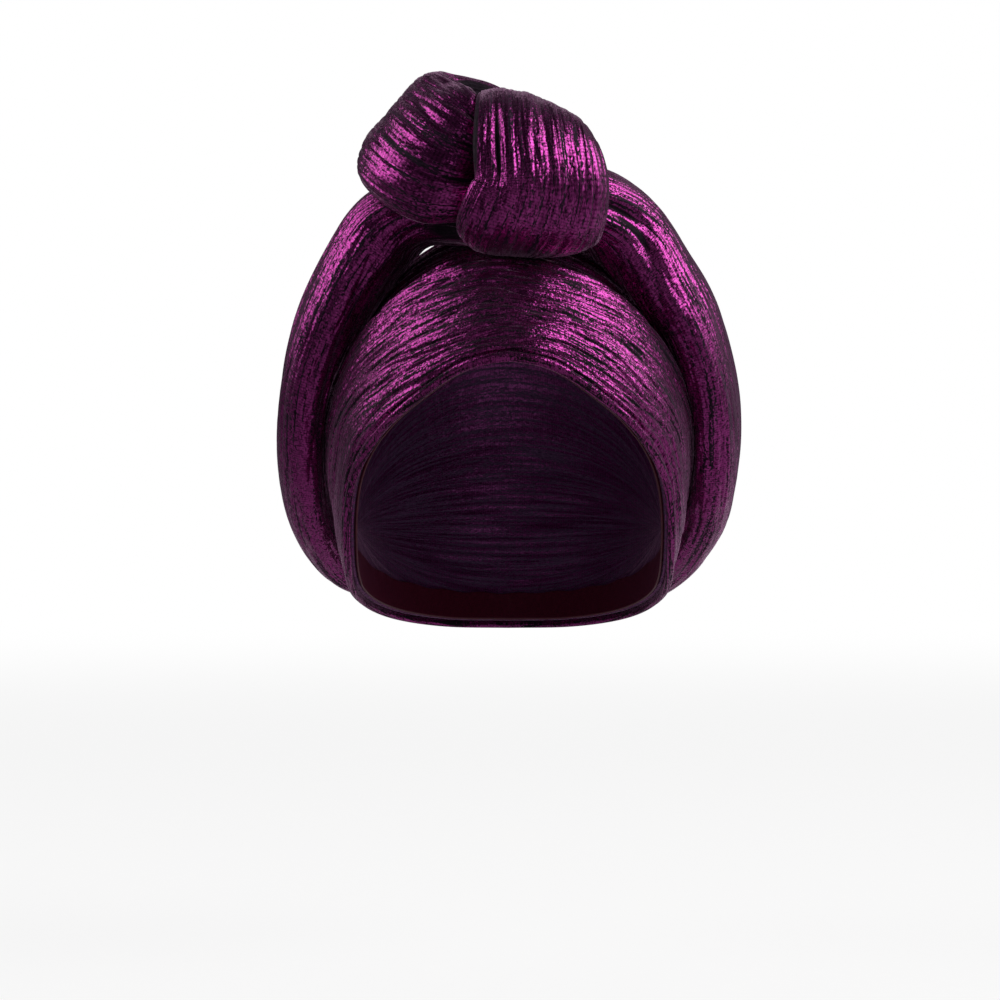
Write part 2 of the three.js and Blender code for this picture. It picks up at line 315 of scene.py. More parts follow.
def band_inside(share):
    """How far the band's back is from the cap's inside, by its share of the way from hem to fold: it lifts
    on top."""
    return CAP_WALL + GAP + BAND_LIFT * ease(share, LIFT_START, 1)


# Steps of Newton's rule, the deepest that a point may lie inside the egg, how far above its seat cloth is
# still eased, and over what distance.
NEWTON_STEPS, DEEPEST, SEAT_REACH, SEAT_SOFTNESS = 14, -45, 6, 0.9
# The seat has come down from the band's face to the cap's at this share of the band's width.
STEP_END = 1.04


def lifted_off_head(points, clearance):
    """Points moved out to the face of the cap or band wherever they would sink into it.

    A point's distance outside the egg solves the egg's equation with every half size grown by it, by
    Newton's rule. A soft maximum of that and the face's own distance eases the cloth onto its seat."""
    x, y, z = np.moveaxis(points, -1, 0)
    up = z + HEAD_ABOVE
    sizes = (HEAD_BREADTH, HEAD_LENGTH, np.where(up > 0, HEAD_ABOVE, HEAD_BELOW))
    out = np.zeros_like(x)
    for _ in range(NEWTON_STEPS):
        value = sum((p / (s + out)) ** 2 for p, s in zip((x, y, up), sizes)) - 1
        slope = sum(-2 * p ** 2 / (s + out) ** 3 for p, s in zip((x, y, up), sizes))
        out = np.maximum(out - value / slope, DEEPEST)
    lat = np.arcsin(np.clip(up / (sizes[2] + out), -1, 1))
    turn = np.degrees(np.arctan2(x / (HEAD_BREADTH + out), -y / (HEAD_LENGTH + out)))
    hem, fold = edge_latitudes(turn)
    share = (lat - hem) / (fold - hem)
    band = band_inside(np.clip(share, 0, 1)) + BAND_WALL
    face = clearance + band + (CAP_WALL - band) * ease(share, 1, STEP_END)
    above = out - face
    seated = face + 0.5 * (above + np.sqrt(above ** 2 + SEAT_SOFTNESS ** 2))
    return np.where((above < SEAT_REACH)[..., None], head_point(turn, lat, seated), points)


# The padded ties.

# Steps in which a curve is measured, and how far to either side its direction is taken, in table rows.
MEASURE_STEPS, DIRECTION_REACH = 4000, 0.05
# Width and thickness of the usual section, whose girth is divided evenly.
USUAL_SECTION = (60, 29)
# How far a tie stands off the head's cloth and the other tie, to leave room for crinkles.
HEAD_CLEARANCE, TIE_CLEARANCE = 1.3, 0.7
# The least fullness from which a point is scaled out, how far past a section that fades, and the number of
# parts in which the points are worked out, to save memory.
LEAST_FULLNESS, PAST_FADE, PARTS = 0.25, (2, 5), 200
# At the nape seam a tie is smaller by this share, and over this distance.
PINCH, PINCH_REACH = 0.16, 4.5
# The tucked end is rounded over this length, down to this share of the section's area.
END_LENGTH, END_SHARE = 7, 0.002
# Soft lumps of filling: height, number round the tie and reach along it.
LUMP_HEIGHT, LUMPS_ROUND, LUMP_REACH = 1.2, 4, 42
# About the crinkles' mean height, which is taken off so that they don't swell the tie.
CRINKLE_MEAN = 0.5
# Between which depths of a fold, and which distances from the tucked end, crest turns to crease or back.
# The material paints a crease dark as shade.
CREASED_FOLD, CREASED_END = (0.4, 0.9), (1, 9)


def tie_sections(side, knot):
    """A tie's sections at even steps of its middle line: middle, axes, half sizes and distance from the nape
    seam.

    The table's rows are joined by smooth curves, which a running mean softens. Each section stands square to
    the middle line, with its thickness along the table's direction and its width along the cross product of
    the two."""
    arm = ARM.copy()
    arm[:, 0] = side * np.maximum(arm[:, 0], SEAM_GAP / 2)
    arm[:, 3] *= side
    rows = np.vstack([arm, knot])
    last = len(rows) - 1
    fine = np.linspace(0, last, MEASURE_STEPS)
    steps = np.linalg.norm(np.diff(smooth_rows(rows, fine)[:, :3], axis=0), axis=1)
    length = np.append(0, np.cumsum(steps))
    along_mm = np.linspace(0, length[-1], TIE_ROWS)
    at = np.interp(along_mm, length, fine)
    row = smooth_rows(rows, at)
    row = np.hstack([running_mean(row[:, :3], LINE_SOFT_ROWS), running_mean(row[:, 3:], SIZE_SOFT_ROWS)])
    ahead = smooth_rows(rows, np.minimum(at + DIRECTION_REACH, last))[:, :3]
    along = unit(ahead - smooth_rows(rows, np.maximum(at - DIRECTION_REACH, 0))[:, :3])
    # The ties meet flat at the nape seam.
    along[0] = (side, 0, 0)
    out = row[:, 3:6]
    out = unit(out - (out * along).sum(1, keepdims=True) * along)
    return {
        "middle": row[:, :3], "along": along, "out": out, "across": np.cross(along, out),
        "half": row[:, 6:8] / 2, "length": along_mm,
    }


def section_angles():
    """Angles round a section that divide the girth of a usual one evenly."""
    fine = np.linspace(0, 2 * np.pi, MEASURE_STEPS)
    width, thickness = USUAL_SECTION
    outline = np.stack([width * rounded(np.cos(fine)), thickness * rounded(np.sin(fine))], -1)
    girth = np.append(0, np.cumsum(np.linalg.norm(np.diff(outline, axis=0), axis=1)))
    return np.interp(np.arange(TIE_SIDES) / TIE_SIDES, girth / girth[-1], fine)


def rounded(value):
    """A cosine or sine made fuller: its size to a power, so that a section is a rounded box and not an
    ellipse."""
    return np.sign(value) * np.abs(value) ** (2 / TIE_SQUARENESS)


def clear_of(points, other, clearance):
    """Points moved out of another tie. In the axes of its nearest section a point's fullness is 1 on the
    surface, and a point with less is scaled out from the middle line until it has that, unless it lies past
    an end."""
    place = points.reshape(-1, 3)
    nearest = np.concatenate([
        (np.square(chunk[:, None] - other["middle"][None]).sum(-1)).argmin(1)
        for chunk in np.array_split(place, PARTS)
    ])
    offset = place - other["middle"][nearest]
    wide = (offset * other["across"][nearest]).sum(1)
    thick = (offset * other["out"][nearest]).sum(1)
    half = other["half"][nearest] + clearance
    fullness = np.abs(wide / half[:, 0]) ** TIE_SQUARENESS + np.abs(thick / half[:, 1]) ** TIE_SQUARENESS
    fullness = np.maximum(fullness ** (1 / TIE_SQUARENESS), LEAST_FULLNESS)
    past = np.abs((offset * other["along"][nearest]).sum(1))
    push = (np.maximum(1 / fullness - 1, 0) * (1 - ease(past, *PAST_FADE)))[:, None]
    flat = wide[:, None] * other["across"][nearest] + thick[:, None] * other["out"][nearest]
    return (place + push * flat).reshape(points.shape)


def pressed_folds(across, along, folds):
    """Depth of the folds pressed into a tie, and how far each place is into one, which sets where the cloth
    is
    painted dark as shade: each fold is a bell across, which wanders from one place round the tie to another
    and eases in and out at its ends."""
    depth, inside = 0, 0
    for start, end, place, last_place, half_width, deep in folds:
        run = np.clip((along - start) / (end - start), 0, 1)
        off = (across - place - run * (last_place - place) + 0.5) % 1 - 0.5
        bell = np.exp(-(off * TIE_GIRTH / half_width) ** 2) * np.sin(np.pi * run)
        depth = depth + deep * bell
        inside = np.maximum(inside, bell)
    return depth, inside


def tie_points(sections, folds, seed):
    """A tie's surface: rounded boxes along its sections, with soft lumps and lengthwise crinkles set out
    along the surface's normal, pinched at the nape seam and rounded over at the tucked end. A fold's bottom
    and the tucked end count as crease, which the material paints dark as shade."""
    angle = section_angles()
    share = np.arange(TIE_SIDES) / TIE_SIDES
    length = sections["length"][:, None]
    to_end = sections["length"][-1] - length
    pinch = 1 - PINCH * np.exp(-(length / PINCH_REACH) ** 2)
    tail = np.clip(to_end / END_LENGTH, 0, 1)
    size = pinch * np.sqrt(np.clip(1 - (1 - tail) ** 2, END_SHARE, 1))
    wide = (rounded(np.cos(angle)) * sections["half"][:, :1] * size)[..., None]
    thick = (rounded(np.sin(angle)) * sections["half"][:, 1:] * size)[..., None]
    middle = sections["middle"][:, None]
    points = middle + wide * sections["across"][:, None] + thick * sections["out"][:, None]
    normal = unit(np.cross(np.roll(points, -1, 1) - np.roll(points, 1, 1), np.gradient(points, axis=0)))
    normal *= np.sign((normal * (points - middle)).sum(-1, keepdims=True))
    along = np.broadcast_to(length, points.shape[:2])
    across = np.broadcast_to(share, points.shape[:2])
    relief, crest = crinkles(across, along, TIE_GIRTH, TIE_CRINKLES, seed)
    lumps = lattice_noise(across * LUMPS_ROUND, along / LUMP_REACH, LUMPS_ROUND, seed + LUMP_SEED)
    pressed, inside = pressed_folds(across, along, folds)
    # Painted shade: crest falls to crease in a fold's middle and at the tucked end, so the material paints
    # them dark.
    crest = crest * (1 - ease(inside, *CREASED_FOLD)) * ease(to_end, *CREASED_END)
    height = (relief - CRINKLE_MEAN + LUMP_HEIGHT * lumps - pressed) * np.minimum(size, 1)
    turn = 2 * np.pi * across
    radius = TIE_GIRTH / (2 * np.pi)
    cloth = np.stack([radius * np.cos(turn), radius * np.sin(turn), along], -1)
    return points + normal * height[..., None], cloth, crest


def tie(name, sections, folds, materials, seed, other=None):
    """A padded tie that lies on the head, and clear of the other tie where that one is given."""
    points, cloth, crest = tie_points(sections, folds, seed)
    points = lifted_off_head(points, HEAD_CLEARANCE)
    if other is not None:
        in_knot = sections["length"] > KNOT_START
        points[in_knot] = clear_of(points[in_knot], other, TIE_CLEARANCE)
    poles = (points[0].mean(0), points[-1].mean(0))
    return cloth_piece(name, points, cloth, crest, materials, poles)


# The cap, the band and the facing.


def cap(materials):
    """The fitted cap: a dome of cloth with a wall, from the crown down its inside, round the hem and up its
    outside.

    Its crinkles run from ear to ear in planes through one axis, so across is the angle about that axis and
    along is the distance from the middle."""
    columns, band_rows, crown_rows, seed = 400, 34, 120, 410
    # Its lower edge, as a share of the band's width, and the axis of the crinkles with their usual radius.
    edge_share = 0.03
    ear_y, ear_z, ear_radius = 25, -125, 112
    # Distances from the axis between which the crinkles rise, and the distance along them at the middle.
    ear_fade, middle = (8, 40), 200
    # Shares of the band's width between which they rise past its top on the face, and on the reverse, where
    # they reach a share of their height.
    face_free, back_free, back_height = (0.95, 1.1), (0.35, 0.6), 0.45
    turn = np.linspace(-180, 180, columns, endpoint=False)
    hem, fold = edge_latitudes(turn)
    low = hem + edge_share * (fold - hem)
    up_band = low + np.linspace(0, 1, band_rows)[:, None] * (fold - low)
    up_crown = fold + np.linspace(0, 1, crown_rows)[1:-1, None] * (np.pi / 2 - fold)
    rising = np.vstack([up_band, up_crown])
    # The inside is smoother, so it has every second row.
    falling = rising[::2][::-1]
    lat = np.vstack([falling, rising])
    rows = len(falling)
    outer = (np.arange(len(lat)) >= rows)[:, None]
    smooth = head_point(turn, lat, np.where(outer, CAP_WALL, 0.0) + 0 * lat)
    lean = np.arctan2(smooth[..., 1] - ear_y, smooth[..., 2] - ear_z)
    from_ear = np.hypot(smooth[..., 1] - ear_y, smooth[..., 2] - ear_z)
    girth = 2 * np.pi * ear_radius
    across = lean / (2 * np.pi) + 0.5
    relief, crest = crinkles(across, smooth[..., 0] + middle, girth, CAP_CRINKLES, seed)
    relief = relief * ease(from_ear, *ear_fade)
    share = (lat - hem) / (fold - hem)
    face = CAP_WALL + relief * ease(share, *face_free)
    back = back_height * relief * ease(share, *back_free)
    out = np.where(outer, face, back)
    points = head_point(turn, lat, out)
    cloth = np.stack([lean * ear_radius, 0 * lean, smooth[..., 0]], -1)
    poles = (points[0].mean(0), points[-1].mean(0))
    way = np.stack([0 * lean, np.cos(lean), -np.sin(lean)], -1)
    made = cloth_piece("cap_cloth", points, cloth, crest, materials, poles, second_from=rows, across=way)
    return made, grid_area(smooth[rows:])


def wall_section(face_rows, back_rows, nose_rows):
    """A loop round a thin wall's section: up its face, over its top, down its back and round its bottom.

    Gives the share of the way up, the side (1 on the face, -1 on the back) and how far past either end it
    lies."""
    nose = (np.arange(nose_rows) + 0.5) / nose_rows * np.pi
    up, down = np.linspace(0, 1, face_rows), np.linspace(1, 0, back_rows)
    share = np.concatenate([up, np.ones(nose_rows), down, np.zeros(nose_rows)])
    side = np.concatenate([np.ones(face_rows), np.cos(nose), -np.ones(back_rows), -np.cos(nose)])
    past = np.concatenate([np.zeros(face_rows), np.sin(nose), np.zeros(back_rows), -np.sin(nose)])
    return share, side, past


def band(materials):
    """The pleated forehead band: a thin wall's section carried round the head.

    Its face has tucks and crinkles that run round the head, and along its lower edge a turned border with a
    groove above it. Its top is a rounded fold that stands off the crown."""
    columns, face_rows, back_rows, nose_rows, seed = 480, 148, 26, 9, 220
    face_radius, usual_width = 96, 62
    # How far the crinkles dip from the forehead to the nape, as a share of the girth.
    dip = 0.02
    # The border's width and height, the groove's depth, half width and distance from it, and the width over
    # which crinkles rise above it.
    border, border_height = 3.1, 0.95
    groove_depth, groove_half, groove_off, crinkle_rise = 0.5, 0.5, 0.35, 1.6
    # How much film shows on the border and in the groove, as crest shares, and the shift in mm that keeps
    # the face's pattern and the back's apart.
    border_crest, groove_crest, side_shift = 0.42, 0.05, 3
    # Values of side between which the face's relief fades out round the top fold and the hem.
    nose_fade = (-0.2, 0.6)
    share, side, past = wall_section(face_rows, back_rows, nose_rows)
    turn = np.linspace(-180, 180, columns, endpoint=False)[:, None]
    hem, fold = edge_latitudes(turn)
    girth = 2 * np.pi * face_radius
    up_mm = share * ((fold - hem) * face_radius)
    along = np.broadcast_to(np.radians(turn) * face_radius + girth / 2, up_mm.shape)
    across = (share + 0 * turn) * usual_width / girth + dip * np.cos(np.radians(turn))
    relief, crest = crinkles(across, along, girth, BAND_CRINKLES, seed)
    roll = border_height * np.sqrt(np.clip(1 - ((up_mm - border / 2) / (border / 2)) ** 2, 0, 1))
    groove = -groove_depth * np.exp(-((up_mm - border - groove_off) / groove_half) ** 2)
    above_border = ease(up_mm, border, border + crinkle_rise)
    on_face = ease(side, *nose_fade)
    height = (relief * above_border + roll + groove) * on_face
    inside = band_inside(share) + 0 * turn
    half = BAND_WALL / 2
    out = inside + half + side * half + height
    lat = hem + share * (fold - hem) + past * half / face_radius
    # Low crest in the groove makes the material paint it darker, as painted shade.
    crest = np.where(up_mm < border, border_crest, crest * above_border + (1 - above_border) * groove_crest)
    smooth = head_point(turn, lat, inside + half + 0 * lat)
    cloth = np.stack([across * girth + side_shift * side, 0 * lat, along], -1)
    points = head_point(turn, lat, out)
    made = cloth_piece("forehead_band_cloth", points, cloth, crest, materials, ring=True)
    return made, grid_area(smooth) / 2


def facing(materials):
    """The satin facing: a narrow flat strip inside the face edge, with a slightly wavy upper edge."""
    columns, side_rows, nose_rows, seed = 420, 20, 5, 77
    radius, half = 92, FACING_WALL / 2
    # Lower edge, and height of the upper edge's waves, as shares of the band's width, and how many waves.
    low, wave, waves = 0.02, 0.012, 23
    # Puckers: height, number across the strip, reach along it, cell at the middle of the forehead, cells
    # before they repeat, and the share of the strip's width from which they rise.
    pucker_height, puckers, pucker_reach, middle, repeat, smooth_share = 0.16, 2, 6, 60, 8, 0.3
    share, side, past = wall_section(side_rows, side_rows, nose_rows)
    turn = np.linspace(-180, 180, columns, endpoint=False)[:, None]
    hem, fold = edge_latitudes(turn)
    top = FACING_SHARE + wave * np.sin(np.radians(turn) * waves)
    along = np.radians(turn) * radius
    lat = hem + (low + share * (top - low)) * (fold - hem) + past * half / radius
    noise = lattice_noise(share * puckers + 0 * turn, along / pucker_reach + middle, repeat, seed)
    pucker = pucker_height * noise * ease(share, smooth_share, 1)
    out = -GAP - half - side * half + np.where(side > 0, pucker, 0)
    points = head_point(turn, lat, out)
    width = (fold - hem) * radius * (top - low)
    cloth = np.stack([share * width, 0 * lat, along + 0 * lat], -1)
    crest = np.ones(lat.shape)
    made = cloth_piece("hem_facing_satin", points, cloth, crest, materials, ring=True)
    return made, grid_area(head_point(turn, lat, -GAP - half + 0 * lat)) / 2


# Materials.


def linear(code):
    """An sRGB hex colour as linear red, green, blue and alpha."""
    value = np.array([int(code[i:i + 2], 16) for i in (1, 3, 5)]) / 255
    value = np.where(value <= 0.04045, value / 12.92, ((value + 0.055) / 1.055) ** 2.4)
    return (*value.tolist(), 1.0)


def node(tree, kind, inputs=None, output=0, **settings):
    """Adds a node with its settings, and gives one of its outputs. inputs gives, by socket name or number, a
    value or another node's output."""
    made = tree.nodes.new("ShaderNode" + kind)
    for key, value in settings.items():
        setattr(made, key, value)
    for key, value in (inputs or {}).items():
        if isinstance(value, bpy.types.NodeSocket):
            tree.links.new(value, made.inputs[key])
        else:
            made.inputs[key].default_value = value
    return made.outputs[output] if len(made.outputs) else made


def stretched(across, along):
    """Scale of a pattern on the cloth whose cells are so many millimetres across the cloth and along it."""
    return (1 / (across * MM), 1 / (across * MM), 1 / (along * MM))


def wave_scale(spacing):
    """Scale of a wave pattern whose bands are so many millimetres apart, by the node's own measure."""
    return 2 * np.pi / (20 * spacing * MM)


# Sockets of a colour Mix node, by number because its names repeat.
FACTOR, COLOUR_A, COLOUR_B, COLOUR_OUT = 0, 6, 7, 2


def new_material(name):
    """An empty node material and its tree."""
    made = bpy.data.materials.new(name)
    made.use_nodes = True
    made.node_tree.nodes.clear()
    return made, made.node_tree


def metal_thread_brocade(name, bright, deep, ground, pale_ground, shine, bare, crimp):
    """Brocade woven with flat metallic film thread on a dark matte ground, then crinkled.

    The film gives hard magenta glints where a ridge turns to a light and nothing elsewhere. Irregular
    lengthwise stripes of ground show between, the creases are bare of film and painted near black as shade,
    and each short float of film tilts its own way, which makes the sparkle. bare is about the share of the
    cloth where no film shows, shine the film's roughness, and crimp how far puckers lean it."""
    made, tree = new_material(name)
    # Cell sizes across and along the cloth in mm, and the spacing of ribs. Floats and ribs are drawn coarser
    # than real ones, so that they show.
    float_size, stripe_size, patch_size = (0.6, 0.75), (1.4, 30), (13, 60)
    grain_size, pucker_size, rib_spacing = (0.5, 1.6), (3.4, 40), 1
    # What patches and floats add to the stripes, and half the softness of a stripe's edge.
    patch_share, float_share, edge_half = 0.14, 0.16, 0.04
    # What ribs add to a float's own tone, the sums between which film goes from deep to bright, and the
    # least share of bright in it.
    rib_share, tone_low, tone_high, tone_least = 0.5, 0.2, 1.1, 0.12
    # Values of the grain between which the ground goes from dark to pale.
    grain_low, grain_high = 0.35, 0.7
    # Crest shares below which film fades out, and below which a crease is painted darker as shade, to what
    # share.
    film_crest, dark_crest, crease_share = 0.12, 0.2, 0.5
    # Slopes by which a float leans across the crinkles, nods along them, and turns any way.
    float_lean, float_nod, float_turn = 0.3, 0.3, 0.08
    # The puckers' mean slope as a share of crimp, which is taken off, and a thread's height in mm.
    pucker_mean, thread_height = 0.55, 0.025
    # The crease colour is painted shade, laid into creases. The fuzz colour tints the sheen.
    ground_roughness, painted_crease_shade, fuzz_colour = 0.66, "#070308", "#dca6d0"
    cloth = node(tree, "Attribute", output="Vector", attribute_name="cloth")
    crest = node(tree, "Attribute", output="Fac", attribute_name="crest")
    across = node(tree, "Attribute", output="Vector", attribute_name="across")

    # Floats of film, each with its own random colour, and ribs of weft.
    float_place = node(tree, "Mapping", {"Vector": cloth, "Scale": stretched(*float_size)})
    floats = node(tree, "TexVoronoi", {"Vector": float_place, "Scale": 1}, "Color")
    glint = node(tree, "SeparateColor", {"Color": floats})
    rib = node(tree, "TexWave", {
        "Vector": cloth, "Scale": wave_scale(rib_spacing), "Distortion": 2.6,
        "Detail": 1, "Detail Scale": 1.5,
    }, "Fac", bands_direction="Z")

    # Film shows in lengthwise stripes that come and go in patches, with edges broken up float by float.
    stripe_place = node(tree, "Mapping", {"Vector": cloth, "Scale": stretched(*stripe_size)})
    stripe = node(tree, "TexNoise", {"Vector": stripe_place, "Scale": 1, "Detail": 3})
    patch_place = node(tree, "Mapping", {"Vector": cloth, "Scale": stretched(*patch_size)})
    patch = node(tree, "TexNoise", {"Vector": patch_place, "Scale": 1, "Detail": 1})
    woven = node(tree, "Math", {0: patch, 1: patch_share, 2: stripe}, operation="MULTIPLY_ADD")
    woven = node(tree, "Math", {0: glint, 1: float_share, 2: woven}, operation="MULTIPLY_ADD")
    edge = bare + (patch_share + float_share) / 2
    striped = node(tree, "MapRange", {
        "Value": woven, "From Min": edge - edge_half, "From Max": edge + edge_half,
    })
    raised = node(tree, "MapRange", {"Value": crest, "From Max": film_crest})
    film = node(tree, "Math", {0: striped, 1: raised}, operation="MULTIPLY")
    ribbed = node(tree, "Math", {0: rib, 1: rib_share, 2: glint}, operation="MULTIPLY_ADD")
    ribbed = node(tree, "MapRange", {
        "Value": ribbed, "From Min": tone_low, "From Max": tone_high, "To Min": tone_least,
    })

    # The ground has a fine grain, and a crease is painted near black as shade, because little light would
    # get into it.
    grain_place = node(tree, "Mapping", {"Vector": cloth, "Scale": stretched(*grain_size)})
    grain = node(tree, "TexNoise", {"Vector": grain_place, "Scale": 1, "Detail": 2})
    grainy = node(tree, "MapRange", {"Value": grain, "From Min": grain_low, "From Max": grain_high})
    film_colour = node(tree, "Mix", {FACTOR: ribbed, COLOUR_A: linear(deep), COLOUR_B: linear(bright)},
                       COLOUR_OUT, data_type="RGBA")
    ground_colour = node(tree, "Mix", {
        FACTOR: grainy, COLOUR_A: linear(ground), COLOUR_B: linear(pale_ground),
    }, COLOUR_OUT, data_type="RGBA")
    colour = node(tree, "Mix", {FACTOR: film, COLOUR_A: ground_colour, COLOUR_B: film_colour}, COLOUR_OUT,
                  data_type="RGBA")
    unshaded_share = node(tree, "MapRange", {"Value": crest, "From Max": dark_crest, "To Min": crease_share})
    colour = node(tree, "Mix", {FACTOR: unshaded_share, COLOUR_A: linear(painted_crease_shade), COLOUR_B: colour},
                  COLOUR_OUT, data_type="RGBA")

    # Puckers lean the cloth across the crinkles, each float leans, nods and turns a little more by its
    # random colour, and ribs and threads stand up.
    smooth = node(tree, "NewGeometry", output="Normal")
    spread = node(tree, "VectorMath", {0: floats, 1: (0.5, 0.5, 0.5)}, operation="SUBTRACT")
    pucker_place = node(tree, "Mapping", {"Vector": cloth, "Scale": stretched(*pucker_size)})
    pucker = node(tree, "TexNoise", {"Vector": pucker_place, "Scale": 1, "Detail": 4})
    lean = node(tree, "SeparateXYZ", {0: spread}, 1)
    lean = node(tree, "Math", {0: lean, 1: float_lean, 2: -pucker_mean * crimp}, operation="MULTIPLY_ADD")
    lean = node(tree, "Math", {0: pucker, 1: crimp, 2: lean}, operation="MULTIPLY_ADD")
    tilted = node(tree, "VectorMath", {0: across, 1: lean, 2: smooth}, operation="MULTIPLY_ADD")
    along = node(tree, "VectorMath", {0: smooth, 1: across}, operation="CROSS_PRODUCT")
    nod = node(tree, "SeparateXYZ", {0: spread}, 2)
    nod = node(tree, "Math", {0: nod, 1: float_nod}, operation="MULTIPLY")
    tilted = node(tree, "VectorMath", {0: along, 1: nod, 2: tilted}, operation="MULTIPLY_ADD")
    tilted = node(tree, "VectorMath", {0: spread, 1: 3 * (float_turn,), 2: tilted}, operation="MULTIPLY_ADD")
    tilted = node(tree, "VectorMath", {0: tilted}, operation="NORMALIZE")
    height = node(tree, "Math", {0: rib, 1: film, 2: grain}, operation="MULTIPLY_ADD")
    bump = node(tree, "Bump", {
        "Height": height, "Strength": 0.5, "Distance": thread_height * MM, "Normal": tilted,
    })
    rough = node(tree, "MapRange", {"Value": film, "To Min": ground_roughness, "To Max": shine})
    shader = node(tree, "BsdfPrincipled", {
        "Base Color": colour, "Metallic": film, "Roughness": rough, "Normal": bump, "Sheen Weight": 1.0,
        "Sheen Roughness": 0.32, "Sheen Tint": linear(fuzz_colour), "Specular IOR Level": 0.15,
    })
    node(tree, "OutputMaterial", {"Surface": shader})
    return made


def wine_satin():
    """Woven polyester satin: smooth floats with fine twill lines, a soft sheen and slight unevenness of
    colour."""
    made, tree = new_material("wine_polyester_satin")
    # Size of a float across and along, the twill's spacing and its height, in mm. The twill is drawn coarser
    # than a real one, so that it shows.
    float_size, twill_spacing, twill_height = (0.5, 3), 0.9, 0.15
    cloth = node(tree, "Attribute", output="Vector", attribute_name="cloth")
    float_place = node(tree, "Mapping", {"Vector": cloth, "Scale": stretched(*float_size)})
    floats = node(tree, "TexNoise", {"Vector": float_place, "Scale": 1, "Detail": 2})
    twill = node(tree, "TexWave", {"Vector": cloth, "Scale": wave_scale(twill_spacing), "Distortion": 1},
                 "Fac", bands_direction="DIAGONAL")
    colour = node(tree, "Mix", {FACTOR: floats, COLOUR_A: linear("#3c0a1c"), COLOUR_B: linear("#7a1a3a")},
                  COLOUR_OUT, data_type="RGBA")
    bump = node(tree, "Bump", {"Height": twill, "Strength": 0.25, "Distance": twill_height * MM})
    shader = node(tree, "BsdfPrincipled", {
        "Base Color": colour, "Roughness": 0.36, "Normal": bump,
        "Sheen Weight": 0.2, "Sheen Tint": linear("#b0607c"),
    })
    node(tree, "OutputMaterial", {"Surface": shader})
    return made


# The stage: floor, lights and camera.

WHITE = "#ffffff"
# Soft lights. Columns: name, turn from the front to the right and lift above the object's middle in degrees,
# distance, width and height in metres, and power in watts.
SOFTBOXES = (
    ("left_softbox", -90, 34, 1.9, 2.4, 1.7, 24),
    ("right_softbox", 84, 34, 1.9, 3.2, 1.7, 52),
    ("left_fill", -94, 8, 1.8, 3, 0.9, 5.5),
    ("right_fill", 94, 8, 1.8, 3, 0.9, 6),
    ("front_fill", 0, 6, 2.6, 5.2, 0.9, 3),
    ("back_fill", 180, 30, 2.2, 2.2, 1.4, 2),
)
# The point that they face, about the object's middle.
LIGHT_AIM = (0, -0.02, -0.06)
# A lamp's middle in its own coordinates, which run from 0 to 1 along two of its edges, the distances from it
# between which the lamp fades, and the share of its light that is left there.
LAMP_MIDDLE, LAMP_FULL, LAMP_FADED, LAMP_LEAST = (0.5, 0.5, 0), 0.15, 0.6, 0.08


